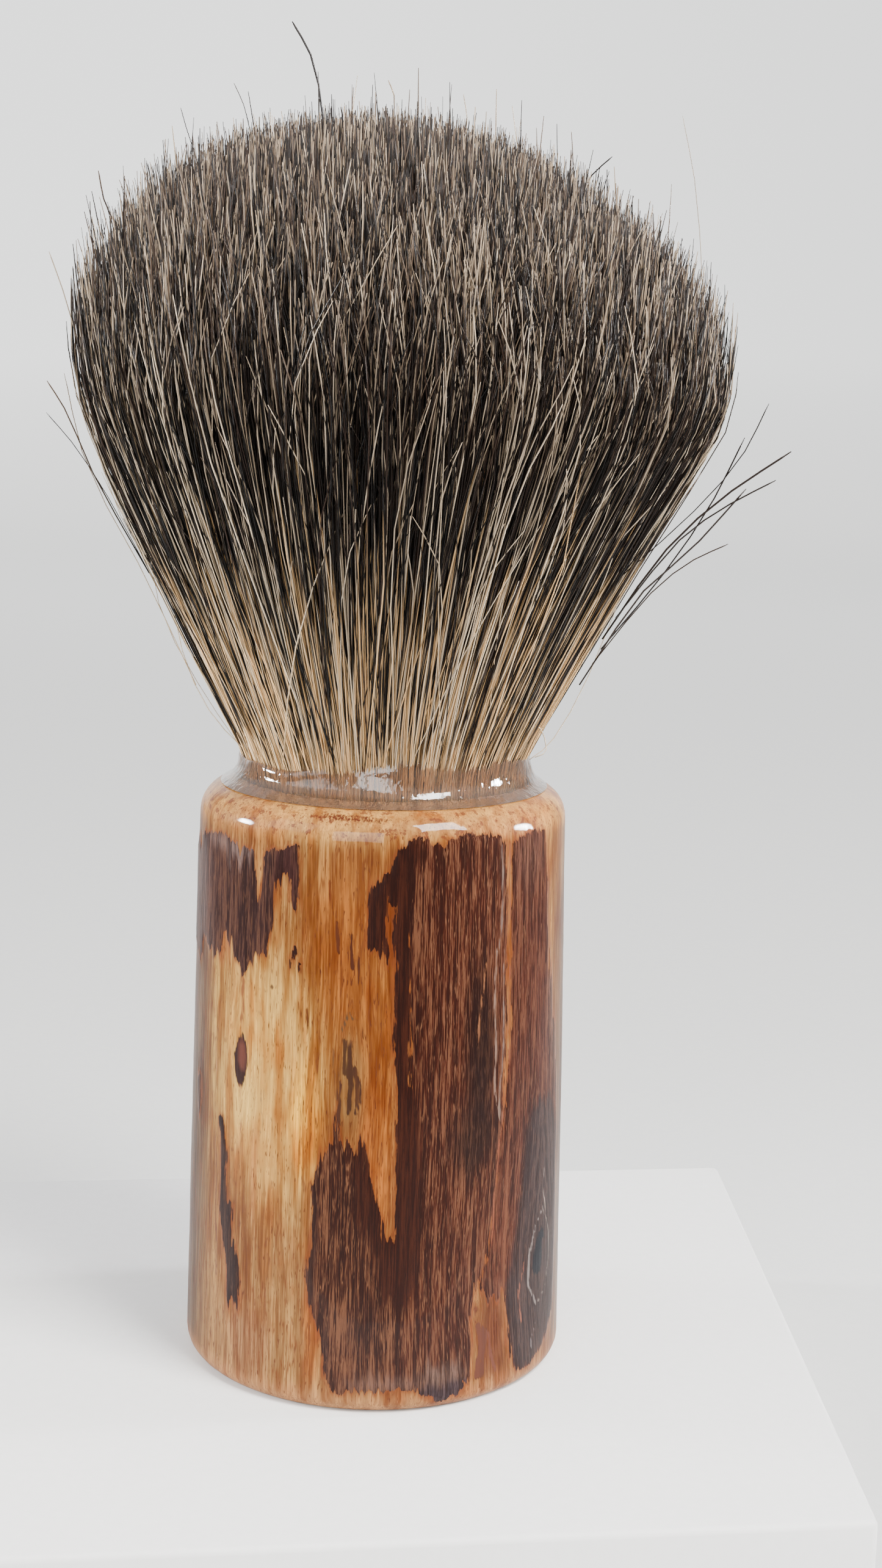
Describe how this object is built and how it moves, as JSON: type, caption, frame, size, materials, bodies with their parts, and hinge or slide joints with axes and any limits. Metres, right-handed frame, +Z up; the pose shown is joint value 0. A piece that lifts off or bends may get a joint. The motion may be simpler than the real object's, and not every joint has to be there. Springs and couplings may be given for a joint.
{
  "type": "shaving brush",
  "caption": "Shaving brush: bulb-shaped hair knot set with clear resin in a thick round handle of glossy branch wood with bark streaks.",
  "frame": {"origin": "centre of the handle's flat foot, on the surface the brush stands on", "axes": "+Z up through the handle to the crown of the hair, -Y towards the viewer of the patterned front"},
  "size_m": [0.0574, 0.0574, 0.1144],
  "materials": {
    "wood": "gloss lacquer",
    "adhesive": "cured epoxy",
    "clear_resin": "clear gloss",
    "thread": "waxed",
    "hair": "natural hair"
  },
  "bodies": {
    "root": {"handle": "wood", "socket_adhesive": "adhesive", "knot_plug": "clear_resin", "root_binding": "thread", "hair_bundle": "hair", "resin_seal": "clear_resin"}
  },
  "joints": []
}
